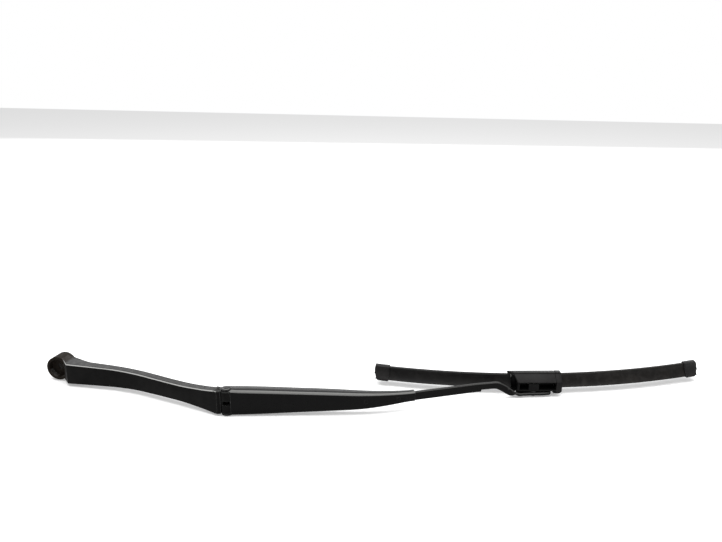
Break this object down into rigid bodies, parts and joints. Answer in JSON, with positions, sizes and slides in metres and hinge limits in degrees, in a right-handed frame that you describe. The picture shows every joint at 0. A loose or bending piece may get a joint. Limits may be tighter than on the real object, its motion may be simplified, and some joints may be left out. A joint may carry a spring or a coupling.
{
  "type": "windscreen wiper arm",
  "caption": "Windscreen wiper arm: die-cast head, tapered folded channel, flat bar and a beam blade on a side pin, lying on its side.",
  "frame": {"origin": "spindle axis, in the plane of the nut seat", "axes": "+X from the spindle towards the blade, +Y along the spindle towards the glass, +Z along the hinge pin"},
  "size_m": [0.7942, 0.2245, 0.033],
  "materials": {
    "die_cast": "satin",
    "painted_sheet": "satin",
    "steel": "satin",
    "spring_steel": "satin",
    "bush_plastic": "matte",
    "black_plastic": "satin",
    "rubber": "matte"
  },
  "bodies": {
    "head": {"arm_head": "die_cast", "hinge_bush_upper": "bush_plastic", "hinge_bush_lower": "bush_plastic", "spring_anchor_pin": "steel"},
    "arm": {"arm_channel": "painted_sheet", "hinge_pin": "steel", "arm_bar": "painted_sheet", "bar_rivets": "painted_sheet", "side_pin": "steel", "tension_spring": "spring_steel"},
    "link": {"spring_link": "steel"},
    "blade": {"blade_carrier": "black_plastic", "connector_cover": "black_plastic", "pin_bush": "bush_plastic", "pin_latch": "bush_plastic", "rail_upper": "spring_steel", "rail_lower": "spring_steel", "wiper_rubber": "rubber", "spoiler_left": "rubber", "spoiler_right": "rubber", "end_cap_left": "black_plastic", "end_cap_right": "black_plastic"}
  },
  "joints": [
    {"name": "arm_hinge", "type": "hinge", "parent": "head", "child": "arm", "pos_m": [0.23775, -0.0495, 0], "axis": [0, 0, -1], "range_deg": [0, 80], "deforming": ["tension_spring"]},
    {"name": "link_swing", "type": "hinge", "parent": "head", "child": "link", "pos_m": [0.23075, -0.0455, 0], "axis": [0, 0, -1], "range_deg": [0, 62.2]},
    {"name": "blade_pivot", "type": "hinge", "parent": "arm", "child": "blade", "pos_m": [0.5789, 0.06802, 0], "axis": [0, 0, 1], "range_deg": [-12, 9]}
  ],
  "couplings": [
    {"joint": "link_swing", "follows": "arm_hinge", "ratio": 0.776}
  ]
}
